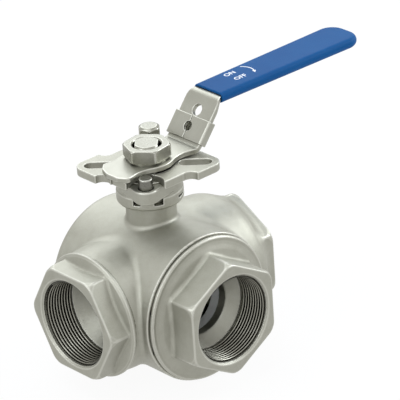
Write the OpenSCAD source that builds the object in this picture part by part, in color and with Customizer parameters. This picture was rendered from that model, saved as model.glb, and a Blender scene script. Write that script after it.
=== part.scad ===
// Three way ball valve, two inch screwed ends, direct mounting pad, locking lever.
// Origin: ball centre, where the three port axes cross. +Z up the stem,
// run ports on -X and +X, branch port on -Y, lever along +X at rest. Millimetres.

/* [Body] */
// outside radius of the drum
drum_r = 51.8; // [48:0.1:56]
// back face of the drum, measured along +Y
drum_back = 50.5; // [46:0.5:56]
// front rim of the drum, measured along -Y
drum_front = 48.5; // [44:0.5:52]
// port face to ball centre, run ports
run_reach = 75.5; // [65:0.5:90]
// port face to ball centre, branch port
branch_reach = 76.5; // [65:0.5:90]
// run pipe outside radius beside the drum
pipe_r = 46.5; // [42:0.5:50]
// hexagon width across flats on every port
hex_af = 69.2; // [60:0.1:76]
// length of the hexagon on a run port
run_hex_len = 14; // [10:0.5:20]
// length of the hexagon on the end cap
cap_hex_len = 19.5; // [12:0.5:24]

/* [Ports] */
// pipe thread major radius
thread_r = 29.8; // [20:0.1:40]
// pipe thread length
thread_len = 24.6; // [16:0.1:30]
// smooth bore behind the thread
relief_r = 28.3; // [20:0.1:40]
// reduced flow bore radius
flow_r = 20; // [15:0.5:25]
// metal between the seat pocket and the port floor
floor_wall = 6.4; // [4:0.1:10]

/* [Ball and seats] */
// ball radius
ball_r = 38; // [34:0.5:40]
// room around the ball in its chamber
chamber_gap = 1.5; // [0.5:0.1:3]
// radial width of the seat's inner face, its step and the metal left between two seats
seat_face = 3; // [2:0.1:4]
// height of the step round the seat face
seat_step = 1.8; // [1:0.1:3]
// corner of one seat to the corner of the next
seat_clear = 1.9; // [1:0.1:4]
// gap between the ball and each seat
seat_gap = 0.3; // [0.1:0.05:0.5]
// gap round a seat in its pocket
pocket_gap = 0.1; // [0.05:0.05:0.3]
// width of the ledge that the cap gasket lies on
gasket_w = 3.5; // [2:0.1:5]
// gasket thickness
gasket_t = 1.5; // [1:0.1:3]
// how far the cap's spigot reaches in past the seat pocket's floor
spigot_in = 6.6; // [4:0.1:8]

/* [Stem] */
// stem radius
stem_r = 9.5; // [8:0.1:12]
// radial gap of the stem in its bore
stem_fit = 0.08; // [0.02:0.01:0.1]
// radial gap inside nuts and washers on the stem
thread_fit = 0.05; // [0.02:0.01:0.2]
// half the distance over the two stem flats
stem_flat = 7.7; // [6:0.1:9]
// packing chamber radius
packing_r = 13.6; // [12:0.1:15]
// height of one packing ring
packing_h = 4.1; // [3:0.1:6]
// stem shoulder radius
shoulder_r = 13; // [11:0.1:16]
// stem shoulder thickness
shoulder_t = 5; // [3:0.1:8]
// thrust washer thickness
washer_t = 1.5; // [1:0.1:2]
// length of stem above the lever base
stem_above = 10.8; // [8:0.1:14]
// half width of the tang and its play in the ball's slot
tang = 4.5; // [3:0.1:6]
tang_gap = 0.1; // [0.05:0.05:0.3]
// large nut width across flats
nut_af = 28.5; // [24:0.5:36]
// neck radius
neck_r = 17; // [14:0.1:20]
// flange and hub radius
hub_r = 22.6; // [20:0.1:26]
// underside of the flange above the drum
flange_up = 13.6; // [10:0.1:18]

/* [Mounting pad] */
// top of the pad
pad_top = 90.3; // [85:0.1:95]
// pad plate thickness
pad_t = 5.8; // [4:0.1:8]
// half width of the pad over its ears
pad_half = 36; // [32:0.5:40]
// half width of the pad between its ears
pad_waist = 29.5; // [26:0.5:32]
// inner and outer slot centre radii
slot_in = 25; // [22:0.5:30]
// outer slot centre radius
slot_out = 38; // [35:0.5:40]
// slot half width
slot_r = 4.5; // [4:0.1:6]
// radius of the stop pin and stop bolt circle
stop_r = 26.5; // [24:0.5:30]
// stop pin radius
pin_r = 4.6; // [3:0.05:5]
// underside of the two stop lugs
lug_z = 76; // [74:0.5:80]
// locknut width across flats
locknut_af = 13; // [10:0.5:15]

/* [Lever] */
// lever plate thickness
lever_t = 3.5; // [3:0.1:5]
// top of the flat lever base above the pad
lever_up = 4.7; // [4:0.1:8]
// half width of the lever base
lever_half = 15.3; // [13:0.1:18]
// bend angle
bend = 51; // [40:1:60]
// where the base and the slope would meet, along X
bend_x = 31.1; // [28:0.1:35]
// rise from the lever base to the handle plate
handle_rise = 28; // [20:0.5:40]
// handle plate end
handle_end = 185.2; // [150:0.5:210]
// grip wall
grip_wall = 2; // [1:0.1:3]
// lock slide sheet thickness
slide_t = 1.9; // [1:0.1:2.5]
// lock slide running gap on the lever
slide_gap = 0.3; // [0.1:0.05:0.5]
// padlock hole radius
lock_r = 4; // [3:0.1:5]

/* [Hidden] */
$fa = 7;
$fs = 0.6;
hex_r = hex_af / sqrt(3);
hole_gap = 0.1;
cap_fit = 0.1;
seat_k = seat_face - seat_step + seat_clear;
seat_s = ball_r + seat_gap;
seat_r = seat_face + (sqrt(2 * seat_s * seat_s - seat_k * seat_k) - seat_k) / 2;
pocket_r = seat_r + pocket_gap;
chamber_r = ball_r + chamber_gap;
pocket_floor = chamber_r + pocket_gap;
port_floor = pocket_floor + floor_wall;
spigot_end = pocket_floor - spigot_in;
spigot_r = chamber_r + gasket_w;
shoulder_z = ball_r + 2;
thrust_z = shoulder_z + shoulder_t + washer_t;
pack_z = drum_r + 6.2;
gland_z = pack_z + 3 * packing_h;
hub_top = pad_top - pad_t;
recess_r = nut_af / sqrt(3) + 1;
recess_z = pad_top - 8.3;
spring_z = recess_z - 2;
spring_t = 1;
spring_cone = 0.8;
nut_z = spring_z + 2 * (spring_t + spring_cone);
flange_z = drum_r + flange_up;
lever_z = pad_top + lever_up;
handle_z = lever_z + handle_rise;
stem_top = lever_z + stem_above;
stop_xy = stop_r * sqrt(0.5);
lever_bottom = lever_z - lever_t;
bend_in = 3;
bend_out = bend_in + lever_t;
tan_in = bend_in * tan(bend / 2);
tan_out = bend_out * tan(bend / 2);
slope_len = (handle_z - lever_z) / sin(bend);
slope_x = (handle_z - lever_z) / tan(bend);
edge_y = stop_xy - pin_r - 0.3;
steel = [0.72, 0.71, 0.68];
bright = [0.80, 0.80, 0.78];
ptfe = [0.93, 0.93, 0.90];

// turn a shape made about Z so that its +Z points along X, Y or -Y
module along_x() { rotate([0, 90, 0]) children(); }
module along_y() { rotate([-90, 0, 0]) children(); }
module along_minus_y() { rotate([90, 0, 0]) children(); }

// hexagon with softened corners, from z0 to z1, crowned at the z1 end
module port_hex(z0, z1) {
  intersection() {
    translate([0, 0, z0]) cylinder(r = hex_r, h = z1 - z0, $fn = 6);
    rotate_extrude()
      polygon([[0, z0 - 1], [hex_r - 0.15, z0 - 1], [hex_r - 0.15, z1 - 1],
        [hex_r - 1.2, z1], [0, z1]]);
  }
}

// threaded mouth and a cone from its bottom down to the flow bore, opening at z1
module port_bore(z1) {
  rotate_extrude()
    polygon([[0, port_floor - 1.2], [flow_r, port_floor - 1.2], [flow_r + 0.8, port_floor - 0.4],
      [relief_r, z1 - thread_len], [thread_r, z1 - thread_len], [thread_r, z1 - 1.2],
      [thread_r + 2.2, z1], [thread_r + 2.2, z1 + 1], [0, z1 + 1]]);
}

module drum() {
  along_y() rotate_extrude() {
    translate([0, -drum_front]) square([drum_r - 1, 2]);
    translate([0, 1 - drum_front]) square([drum_r, drum_front + drum_back - 7]);
    translate([0, 1 - drum_front]) square([drum_r - 6, drum_front + drum_back - 1]);
    translate([drum_r - 6, drum_back - 6]) circle(r = 6);
  }
}

// left run port: pipe, step line, round collar, then the hexagon
module left_port() {
  z1 = run_reach;
  zh = run_reach - run_hex_len;
  rotate([0, 0, 180]) along_x() {
    rotate_extrude()
      polygon([[0, 0], [pipe_r - 3, 0], [pipe_r - 3, 44], [pipe_r - 3.6, 51], [pipe_r - 4.4, 55.4],
        [pipe_r - 3.6, 55.8], [pipe_r - 2.8, 56.8], [pipe_r - 2.8, 58.6], [pipe_r - 4, 59.8],
        [pipe_r - 9, zh + 0.6], [0, zh + 0.6]]);
    rotate([0, 0, 30]) port_hex(zh - 3, z1);
  }
}

// right run port: smooth flare straight into the hexagon
module right_port() {
  z1 = run_reach;
  zh = run_reach - run_hex_len;
  along_x() {
    rotate_extrude()
      polygon([[0, 0], [pipe_r + 1.5, 0], [pipe_r + 1.5, 38], [pipe_r, 48], [pipe_r - 0.7, 54],
        [pipe_r - 2, 58], [pipe_r - 4, zh + 0.5], [pipe_r - 6.2, zh + 3],
        [pipe_r - 9.5, zh + 5.5], [0, zh + 5.5]]);
    port_hex(zh - 5, z1);
  }
}

// neck, flange and hub under the pad
module neck() {
  z = drum_r;
  rotate_extrude()
    polygon([[0, z - 12], [neck_r + 5, z - 12], [neck_r + 5, z - 1.8], [neck_r + 2.6, z - 0.3],
      [neck_r + 1, z + 1.6], [neck_r + 0.3, z + 3.6], [neck_r, z + 5.6], [neck_r, flange_z],
      [hub_r - 1.4, flange_z], [hub_r, flange_z + 1.2], [hub_r, flange_z + 7.8],
      [hub_r - 0.7, flange_z + 9], [hub_r - 0.7, hub_top + 0.5], [0, hub_top + 0.5]]);
}

// windows between flange and lug, beside each rib, and the groove on the right side
module hub_windows() {
  for (a = [0, 180], w = [[28.2, 2.9], [67, 3.5]]) rotate([0, 0, a + w[0]])
    translate([hub_r - 4.1, -w[1], flange_z + 4]) cube([12, 2 * w[1], lug_z - flange_z - 3.9]);
  rotate([0, 0, -75]) rotate_extrude(angle = 65)
    translate([hub_r - 3.5, flange_z + 4]) square([10, 1.6]);
}

// one lug drawn out from the hub
module stop_lug() {
  rb = hub_r - 0.9;
  rl = 8.1;
  a = acos((rb - rl) / stop_r);
  translate([stop_r, 0, lug_z]) cylinder(r = rl + 0.2, h = hub_top - lug_z);
  translate([0, 0, lug_z]) linear_extrude(hub_top - lug_z)
    polygon([[0, 0], [rb * cos(a), rb * sin(a)], [stop_r + rl * cos(a), rl * sin(a)],
      [stop_r + rl * cos(a), -rl * sin(a)], [rb * cos(a), -rb * sin(a)]]);
}

// rib under the front lug, down to the lower flange
module lug_rib() {
  rotate([90, 0, 0]) translate([0, 0, -4]) linear_extrude(8)
    polygon([[hub_r - 10, flange_z + 1], [hub_r - 0.8, flange_z + 1.4], [hub_r - 0.8, flange_z + 3.6],
      [stop_r + 5.5, lug_z + 0.5], [hub_r - 10, lug_z + 0.5]]);
}

module pad_outline() {
  difference() {
    union() {
      square(2 * pad_waist, center = true);
      for (a = [0, 180]) rotate(a) {
        translate([6.5, -pad_half]) square([pad_half - 15, 33]);
        translate([6.5, 8.5 - pad_half]) square([pad_half - 6.5, 21]);
        translate([pad_half - 8.5, 8.5 - pad_half]) circle(r = 8.5);
      }
    }
    for (a = [0, 180]) rotate(a) {
      translate([6.5, -35]) circle(r = 5.5);
      translate([35, -6.5]) circle(r = 5.5);
      rotate(-45) translate([slot_in, 0]) circle(r = slot_r);
      rotate(-45) translate([slot_out, 0]) circle(r = slot_r);
      rotate(-45) translate([slot_in, -slot_r]) square([slot_out - slot_in, 2 * slot_r]);
      rotate(45) translate([29.4, 0]) circle(r = 12.4);
    }
  }
}

module body() {
  color(steel) difference() {
    union() {
      drum();
      left_port();
      right_port();
      neck();
      rotate([0, 0, 45]) stop_lug();
      rotate([0, 0, 225]) stop_lug();
      rotate([0, 0, 225]) lug_rib();
      translate([0, 0, hub_top]) linear_extrude(pad_t) pad_outline();
    }
    along_x() port_bore(run_reach);
    rotate([0, 0, 180]) along_x() port_bore(run_reach);
    translate([-port_floor, 0, 0]) along_x() cylinder(r = flow_r, h = 2 * port_floor);
    along_x() translate([0, 0, -pocket_floor]) cylinder(r = pocket_r, h = 2 * pocket_floor);
    // chamber, back seat pocket and the opening for the end cap
    sphere(r = chamber_r);
    along_y() {
      translate([0, 0, -drum_front - 5]) cylinder(r = spigot_r, h = drum_front + 5 - spigot_end + gasket_t);
      translate([0, 0, -spigot_end]) cylinder(r = chamber_r, h = spigot_end);
      cylinder(r = pocket_r, h = pocket_floor);
    }
    // stem bore, thrust counterbore, packing chamber and top recess
    rotate_extrude()
      polygon([[0, ball_r - 8], [shoulder_r + 0.3, ball_r - 8], [shoulder_r + 0.3, thrust_z],
        [stem_r + stem_fit, thrust_z], [stem_r + stem_fit, pack_z], [packing_r, pack_z],
        [packing_r, recess_z], [recess_r, recess_z], [recess_r, pad_top + 1], [0, pad_top + 1]]);
    hub_windows();
    // holes in the two lugs, a counterbore in front and room for the locknut behind
    for (a = [45, 225]) rotate([0, 0, a]) translate([stop_r, 0, lug_z - 1]) cylinder(r = pin_r, h = 20);
    rotate([0, 0, 225]) translate([stop_r, 0, hub_top - 2.5]) cylinder(r = pin_r + 0.75, h = 10);
    rotate([0, 0, 45]) translate([stop_r, 0, lug_z - 6]) cylinder(r = locknut_af / 2 + 1.7, h = 6);
  }
}

module end_cap() {
  z1 = branch_reach;
  zh = branch_reach - cap_hex_len;
  zc = drum_front + 0.8;
  rc = drum_r - 1.5;
  color(steel) along_minus_y() difference() {
    union() {
      rotate_extrude()
        polygon([[0, spigot_end], [spigot_r - cap_fit, spigot_end], [spigot_r - cap_fit, zc],
          [rc - 0.5, zc], [rc, zc + 0.5], [rc, zc + 2.3], [rc - 1, zc + 3.1], [rc - 2.7, zc + 3.1],
          [rc - 5.1, zc + 3.8], [rc - 7.3, zc + 4.9], [rc - 9.1, zc + 6.5],
          [rc - 10.1, zh + 0.4], [0, zh + 0.4]]);
      rotate([0, 0, 30]) port_hex(zh - 2, z1);
    }
    port_bore(z1);
    cylinder(r = flow_r, h = port_floor + 1);
    cylinder(r = pocket_r, h = pocket_floor);
  }
}

module cap_gasket() {
  color(ptfe) along_minus_y() translate([0, 0, spigot_end - gasket_t]) difference() {
    cylinder(r = spigot_r - 2 * cap_fit, h = gasket_t);
    translate([0, 0, -1]) cylinder(r = chamber_r + 0.1, h = gasket_t + 2);
  }
}

// T ported ball with the stem slot on top
module ball() {
  color(bright) difference() {
    sphere(r = ball_r);
    along_x() translate([0, 0, -2 * ball_r]) cylinder(r = flow_r, h = 4 * ball_r);
    along_minus_y() cylinder(r = flow_r, h = 2 * ball_r);
    translate([-shoulder_r - 0.2, -tang - tang_gap, ball_r - 7])
      cube([2 * shoulder_r + 0.4, 2 * (tang + tang_gap), 20]);
  }
}

// seat ring about Z with its back at the pocket floor
module seat_ring() {
  s = ball_r + seat_gap;
  lip = seat_r - seat_face;
  zout = sqrt(s * s - lip * lip);
  ri = flow_r + hole_gap;
  color(ptfe) difference() {
    rotate_extrude()
      polygon([[ri, zout - 1.5], [lip, zout], [lip + 1.5, zout], [seat_r, zout + seat_step],
        [seat_r, pocket_floor], [ri, pocket_floor]]);
    sphere(r = s);
  }
}

module seat_left() { rotate([0, 0, 180]) along_x() seat_ring(); }
module seat_right() { along_x() seat_ring(); }
module seat_branch() { along_minus_y() seat_ring(); }
module seat_back() { along_y() seat_ring(); }

module stem() {
  zg = thrust_z + 4;
  color(bright) difference() {
    union() {
      rotate_extrude()
        polygon([[0, shoulder_z], [shoulder_r, shoulder_z], [shoulder_r, thrust_z - washer_t],
          [stem_r, thrust_z - washer_t], [stem_r, zg], [stem_r - 2.2, zg], [stem_r - 2.2, zg + 2.8],
          [stem_r, zg + 2.8], [stem_r, stem_top - 1], [stem_r - 1, stem_top], [0, stem_top]]);
      translate([1 - shoulder_r, -tang, ball_r - 6.6]) cube([2 * shoulder_r - 2, 2 * tang, 9]);
    }
    for (a = [-45, 135]) rotate([0, 0, a]) translate([stem_flat, -20, lever_bottom])
      cube([10, 40, 20]);
  }
}

module stem_seal() {
  color([0.1, 0.1, 0.1]) translate([0, 0, thrust_z + 5.4])
    rotate_extrude() translate([stem_r - 1.08, 0]) circle(r = 1.05);
}

module thrust_washer() {
  color(ptfe) translate([0, 0, thrust_z - washer_t]) difference() {
    cylinder(r = shoulder_r + 0.1, h = washer_t);
    translate([0, 0, -1]) cylinder(r = stem_r + stem_fit, h = washer_t + 2);
  }
}

// packing ring with a vee on its top, its bottom or both
module packing(z0, h, vee_bottom, vee_top) {
  ri = stem_r + stem_fit;
  ro = packing_r - 0.05;
  rm = (ri + ro) / 2;
  color(ptfe) rotate_extrude()
    polygon([[ri, z0], [rm, z0 + vee_bottom], [ro, z0], [ro, z0 + h], [rm, z0 + h + vee_top],
      [ri, z0 + h]]);
}

module packing_lower() { packing(pack_z, packing_h, 0, 1.2); }
module packing_middle() { packing(pack_z + packing_h, packing_h, 1.2, 1.2); }
module packing_upper() { packing(pack_z + 2 * packing_h, packing_h, 1.2, 0); }

module gland_ring() {
  color(bright) difference() {
    translate([0, 0, gland_z]) cylinder(r = packing_r - 0.15, h = spring_z - gland_z);
    cylinder(r = stem_r + 0.3, h = stem_top);
  }
}

// coned disc spring, wide end at z0 when up is 0 and at the top when up is 1
module disc_spring(z0, up) {
  ri = stem_r + 0.2;
  ro = packing_r - 0.4;
  a = up * spring_cone;
  b = spring_cone - a;
  color([0.5, 0.5, 0.52]) rotate_extrude()
    polygon([[ri, z0 + b], [ro, z0 + a], [ro, z0 + a + spring_t], [ri, z0 + b + spring_t]]);
}

module disc_spring_lower() { disc_spring(spring_z, 0); }
module disc_spring_upper() { disc_spring(spring_z + spring_t + spring_cone, 1); }

// nut about Z with crowned corners
module nut(z0, h, af, hole) {
  r = af / sqrt(3);
  difference() {
    intersection() {
      translate([0, 0, z0]) cylinder(r = r, h = h, $fn = 6);
      rotate_extrude()
        polygon([[0, z0], [r - 1.5, z0], [r - 0.2, z0 + 0.9], [r - 0.2, z0 + h - 0.9],
          [r - 1.5, z0 + h], [0, z0 + h]]);
    }
    rotate_extrude()
      polygon([[0, z0 - 1], [hole + 0.8, z0 - 1], [hole + 0.8, z0], [hole, z0 + 0.8],
        [hole, z0 + h - 0.8], [hole + 0.8, z0 + h], [hole + 0.8, z0 + h + 1], [0, z0 + h + 1]]);
  }
}

module gland_nut() { color(bright) nut(nut_z, pad_top - nut_z, nut_af, stem_r + thread_fit); }

// tab washer: a thin ring with one ear bent down beside the gland nut
module tab_washer() {
  color(bright) difference() {
    union() {
      translate([0, 0, pad_top]) cylinder(r = nut_af / 2 + 1.35, h = lever_bottom - pad_top);
      rotate([0, 0, 90]) translate([nut_af / 2 + 0.15, -4, nut_z + 2.4])
        cube([1.1, 8, lever_bottom - nut_z - 2.4]);
    }
    cylinder(r = stem_r + thread_fit, h = stem_top);
  }
}

// flat outline of the lever, seen from above
module lever_outline() {
  difference() {
    union() {
      polygon([[-34.5, -8.5], [-30.4, -lever_half], [50.5, -lever_half], [58, -12.1],
        [150, -13.5], [150, 13.5], [58, 12.1], [50.5, lever_half], [-25.5, lever_half],
        [-31.5, 9.5], [-34.5, 1.5]]);
      translate([149, 0]) difference() {
        polygon([[0, -13.5], [handle_end - 149, -14.1], [handle_end - 149, 14.1], [0, 13.5]]);
        translate([handle_end - 159.2, 3.4]) difference() {
          square(11);
          circle(r = 10.2);
        }
        mirror([0, 1]) translate([handle_end - 159.2, 3.4]) difference() {
          square(11);
          circle(r = 10.2);
        }
      }
      translate([0, -1.2]) circle(r = 17);
    }
    for (x = [-stop_xy, stop_xy], s = [-1, 1]) translate([x, s * (edge_y + 12)]) circle(r = 12);
  }
}

// points of an arc from a0 to a1 degrees
function arc(x, z, r, a0, a1) = [for (i = [0:8]) let (a = a0 + (a1 - a0) * i / 8)
  [x + r * cos(a), z + r * sin(a)]];

// side view of the lever plate, X across and Z up
module lever_side() {
  x1 = bend_x - tan_in;
  x2 = bend_x + slope_x + tan_out;
  polygon(concat([[-40, lever_z], [-40, lever_bottom]],
    arc(x1, lever_z + bend_in, bend_out, -90, bend - 90),
    arc(x2, handle_z - bend_out, bend_in, 90 + bend, 90),
    [[handle_end + 5, handle_z - lever_t], [handle_end + 5, handle_z]],
    arc(x2, handle_z - bend_out, bend_out, 90, 90 + bend),
    arc(x1, lever_z + bend_in, bend_in, bend - 90, -90)));
}

module on_slope() {
  translate([bend_x, 0, lever_z]) rotate([0, -bend, 0]) children();
}

module lever_plate() {
  color(steel) difference() {
    intersection() {
      translate([0, 30, 0]) rotate([90, 0, 0]) linear_extrude(60) lever_side();
      translate([0, 0, pad_top]) linear_extrude(60) lever_outline();
    }
    translate([0, 0, pad_top]) linear_extrude(20) intersection() {
      circle(r = stem_r + thread_fit);
      rotate(-45) square([2 * (stem_flat + thread_fit), 40], center = true);
    }
    on_slope() translate([23.5, 0, -10]) cylinder(r = lock_r, h = 20);
    on_slope() translate([11, 0, -10]) cylinder(r = lock_r - 0.6, h = 20);
  }
}

module lever_washer() {
  color(bright) difference() {
    translate([0, 0, lever_z]) cylinder(r = nut_af / 2 - 0.6, h = 1);
    cylinder(r = stem_r + thread_fit, h = stem_top);
  }
}

module lever_nut() {
  color(bright) rotate([0, 0, 9.5]) nut(lever_z + 1, stem_above - 1.6, nut_af, stem_r + thread_fit);
}

// soft grip: rounded shell round the handle plate
module grip_sleeve() {
  x0 = bend_x + slope_x + tan_out;
  zc = handle_z - lever_t / 2;
  r = lever_t / 2 + grip_wall;
  color([0.2, 0.4, 0.7]) difference() {
    hull() {
      for (s = [-1, 1]) {
        translate([x0, s * (12.1 + grip_wall - r), zc]) rotate([0, 90, 0]) cylinder(r = r, h = 1, $fn = 28);
        translate([handle_end + grip_wall - 11.4, s * (14.1 + grip_wall - 11.4), zc])
          rotate_extrude($fn = 56) translate([11.4 - r, 0]) circle(r = r, $fn = 28);
      }
    }
    translate([0, 0, handle_z - lever_t]) linear_extrude(lever_t) lever_outline();
  }
}

// folded sheet that slides on the sloping part of the lever
module lock_slide() {
  yi = lever_half + slide_gap;
  zt = slide_gap;
  zb = -lever_t - slide_gap;
  color(steel) on_slope() difference() {
    union() {
      translate([2.3, 0, 0]) rotate([90, 0, 90]) linear_extrude(16.7) union() {
        translate([-yi, zb - slide_t]) square([2 * yi, zt - zb + 2 * slide_t]);
        translate([-yi - slide_t, zb]) square([2 * (yi + slide_t), zt - zb]);
        for (s = [-1, 1], z = [zt, zb]) translate([s * yi, z]) circle(r = slide_t);
      }
    }
    translate([0, -yi, zb]) cube([40, 2 * yi, zt - zb]);
    translate([11, 0, 0]) cylinder(r = lock_r - 0.6, h = 20);
    translate([0, -0.4, 0]) cube([40, 0.8, 5]);
  }
}

module stop_pin() {
  color([0.45, 0.44, 0.42]) rotate([0, 0, 225]) translate([stop_r, 0, 0]) rotate_extrude()
    polygon([[0, lug_z], [pin_r, lug_z], [pin_r, lever_z - 3.2], [pin_r - 0.4, lever_z - 2.8],
      [0, lever_z - 2.8]]);
}

// hexagon head bolt standing in the rear lug
module stop_bolt() {
  head_z = lever_z + 4.6;
  color(bright) rotate([0, 0, 45]) translate([stop_r, 0, 0]) {
    translate([0, 0, lug_z - 6.6]) cylinder(r = pin_r - 0.05, h = head_z - lug_z + 7.6);
    intersection() {
      rotate([0, 0, 20]) translate([0, 0, head_z]) cylinder(r = 8.1, h = 6.4, $fn = 6);
      rotate_extrude()
        polygon([[0, head_z], [7.9, head_z], [7.9, head_z + 4.4], [5.8, head_z + 6.4], [0, head_z + 6.4]]);
    }
  }
}

module stop_nut() {
  color(bright) rotate([0, 0, 45]) translate([stop_r, 0, 0])
    nut(lug_z - 5.4, 5.4, locknut_af, pin_r);
}

body();
end_cap();
cap_gasket();
ball();
seat_left();
seat_right();
seat_branch();
seat_back();
stem();
stem_seal();
thrust_washer();
packing_lower();
packing_middle();
packing_upper();
gland_ring();
disc_spring_lower();
disc_spring_upper();
gland_nut();
tab_washer();
lever_plate();
lever_washer();
lever_nut();
grip_sleeve();
lock_slide();
stop_pin();
stop_bolt();
stop_nut();
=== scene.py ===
import math
import bmesh
import bpy
import numpy as np
from mathutils import Matrix, Vector


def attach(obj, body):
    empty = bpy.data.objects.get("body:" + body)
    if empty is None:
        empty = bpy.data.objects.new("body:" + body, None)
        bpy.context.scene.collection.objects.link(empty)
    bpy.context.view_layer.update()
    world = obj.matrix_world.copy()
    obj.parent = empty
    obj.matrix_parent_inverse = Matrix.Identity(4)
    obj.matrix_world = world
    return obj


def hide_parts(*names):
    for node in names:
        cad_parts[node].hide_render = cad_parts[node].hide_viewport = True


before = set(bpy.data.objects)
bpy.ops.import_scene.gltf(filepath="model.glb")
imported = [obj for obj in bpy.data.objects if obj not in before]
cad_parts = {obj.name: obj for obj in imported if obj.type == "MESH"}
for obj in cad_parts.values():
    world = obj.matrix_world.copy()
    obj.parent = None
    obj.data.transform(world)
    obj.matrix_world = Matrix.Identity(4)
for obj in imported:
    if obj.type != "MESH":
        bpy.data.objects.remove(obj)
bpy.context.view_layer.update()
print("frame loaded")

coarser = 1.0


# shapes as distance fields, in mm, negative inside

def shape(corners):
    # closed outline; a third number rounds that corner
    points = []
    for i, corner in enumerate(corners):
        here = np.array(corner[:2], float)
        radius = corner[2] if len(corner) > 2 else 0
        if not radius:
            points.append(tuple(here))
            continue
        back = np.array(corners[i - 1][:2], float) - here
        ahead = np.array(corners[(i + 1) % len(corners)][:2], float) - here
        back /= np.linalg.norm(back)
        ahead /= np.linalg.norm(ahead)
        half = math.acos(max(-1, min(1, float(back @ ahead)))) / 2
        centre = here + (back + ahead) / np.linalg.norm(back + ahead) * radius / math.sin(half)
        first = here + back * radius / math.tan(half) - centre
        turn = math.pi - 2 * half
        side = 1 if back[0] * ahead[1] - back[1] * ahead[0] < 0 else -1
        steps = max(2, math.ceil(turn * radius / 0.8))
        for k in range(steps + 1):
            a = side * turn * k / steps
            points.append((centre[0] + first[0] * math.cos(a) - first[1] * math.sin(a),
                           centre[1] + first[0] * math.sin(a) + first[1] * math.cos(a)))
    return points


def outline(points, u, v):
    best = np.full(u.shape, 1e9, u.dtype)
    sign = np.ones(u.shape, u.dtype)
    for (ax, ay), (bx, by) in zip(points, points[-1:] + points[:-1]):
        ex, ey = bx - ax, by - ay
        if ex * ex + ey * ey < 1e-9:
            continue
        wx, wy = u - ax, v - ay
        t = np.clip((wx * ex + wy * ey) / (ex * ex + ey * ey), 0, 1)
        dx, dy = wx - ex * t, wy - ey * t
        best = np.minimum(best, dx * dx + dy * dy)
        c1, c2, c3 = v >= ay, v < by, ex * wy > ey * wx
        sign[(c1 & c2 & c3) | ~(c1 | c2 | c3)] *= -1
    return sign * np.sqrt(best)


def roundJoin(a, b, r):
    return np.maximum(r, np.minimum(a, b)) - np.hypot(np.maximum(r - a, 0), np.maximum(r - b, 0))


def roundMeet(a, b, r):
    return np.minimum(-r, np.maximum(a, b)) + np.hypot(np.maximum(r + a, 0), np.maximum(r + b, 0))


def between(v, low, high):
    return np.maximum(low - v, v - high)


def prism(flat, v, low, high, r):
    return roundMeet(flat, between(v, low, high), r)


def turned(u, v, degrees):
    c, s = math.cos(math.radians(degrees)), math.sin(math.radians(degrees))
    return u * c + v * s, v * c - u * s


def hexagon(u, v, acrossFlats, r, start=0):
    # flats at start + 0, 60, 120 degrees from the u axis
    best = None
    for k in range(3):
        a = math.radians(start + 60 * k)
        side = np.abs(u * math.cos(a) + v * math.sin(a)) - acrossFlats / 2
        best = side if best is None else roundMeet(best, side, r)
    return best


# a field made into a mesh whose points lie on it

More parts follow.
